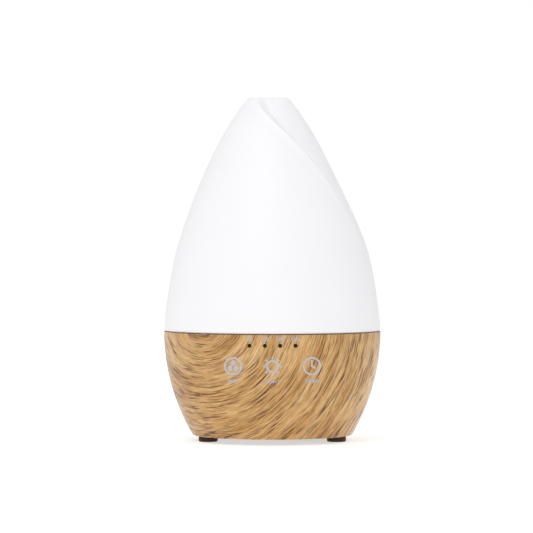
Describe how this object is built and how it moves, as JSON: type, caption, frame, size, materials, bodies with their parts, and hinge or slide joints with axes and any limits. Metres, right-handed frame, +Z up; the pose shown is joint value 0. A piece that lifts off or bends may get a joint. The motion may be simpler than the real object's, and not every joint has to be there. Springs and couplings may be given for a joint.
{
  "type": "cool mist humidifier",
  "caption": "Teardrop cool mist humidifier: lift-off cover with a spiral fold over a round water tank, in a wood-print base with an internal fan.",
  "frame": {"origin": "middle of the four feet, on the surface they stand on", "axes": "+Z up along the body, front towards -Y, +X to the right seen from the front"},
  "size_m": [0.112, 0.112, 0.177],
  "materials": {
    "white_plastic": "satin",
    "wood_print": "satin",
    "brown_rubber": "matte",
    "translucent_plastic": "satin",
    "green_lens": "gloss",
    "seal_rubber": "matte",
    "circuit_board": "satin",
    "black_plastic": "satin",
    "brass": "satin",
    "screw_steel": "satin",
    "aluminium": "satin",
    "magnet": "matte",
    "copper_winding": "gloss",
    "lead_jacket": "satin",
    "white_led": "satin"
  },
  "bodies": {
    "base": {"base_shell": "wood_print", "board_connectors": "white_led", "bottom_plate": "black_plastic", "capacitors": "black_plastic", "case_screws": "screw_steel", "control_board": "circuit_board", "control_board_screws": "screw_steel", "control_lead": "lead_jacket", "dc_socket": "black_plastic", "driver_coil": "copper_winding", "fan_bearing": "brass", "fan_coils": "copper_winding", "fan_frame": "black_plastic", "fan_lead": "lead_jacket", "fan_screws": "screw_steel", "fan_stator": "screw_steel", "foot_1": "brown_rubber", "foot_2": "brown_rubber", "foot_3": "brown_rubber", "foot_4": "brown_rubber", "heat_sink": "aluminium", "indicator_led_1": "white_led", "indicator_led_2": "white_led", "indicator_led_3": "white_led", "indicator_led_4": "white_led", "indicator_lens_1": "green_lens", "indicator_lens_2": "green_lens", "indicator_lens_3": "green_lens", "indicator_lens_4": "green_lens", "light_board": "circuit_board", "light_board_screws": "screw_steel", "light_lead": "lead_jacket", "light_leds": "white_led", "main_board": "circuit_board", "main_board_screws": "screw_steel", "power_lead": "lead_jacket", "socket_pin": "brass", "tank": "translucent_plastic", "tank_gasket": "seal_rubber", "touch_spring_1": "screw_steel", "touch_spring_2": "screw_steel", "touch_spring_3": "screw_steel", "transducer_disc": "brass", "transducer_lead": "lead_jacket", "transducer_plate": "screw_steel", "transducer_screws": "screw_steel", "transducer_seal": "seal_rubber", "transistor": "black_plastic"},
    "cover": {"cover": "white_plastic"},
    "inner_cover": {"inner_cover": "translucent_plastic"},
    "fan_rotor": {"fan_rotor": "black_plastic", "fan_shaft": "screw_steel", "fan_magnet": "magnet"}
  },
  "joints": [
    {"name": "cover_lift", "type": "slide", "parent": "base", "child": "cover", "axis": [0, 0, 1], "range_m": [0, 0.2]},
    {"name": "inner_cover_lift", "type": "slide", "parent": "base", "child": "inner_cover", "axis": [0, 0, 1], "range_m": [0, 0.1]},
    {"name": "fan_spin", "type": "hinge", "parent": "base", "child": "fan_rotor", "pos_m": [0.014, 0.002, 0.0112], "axis": [0, 0, 1], "continuous": true}
  ],
  "couplings": [
    {"joint": "inner_cover_lift", "follows": "cover_lift", "ratio": 0.5}
  ]
}
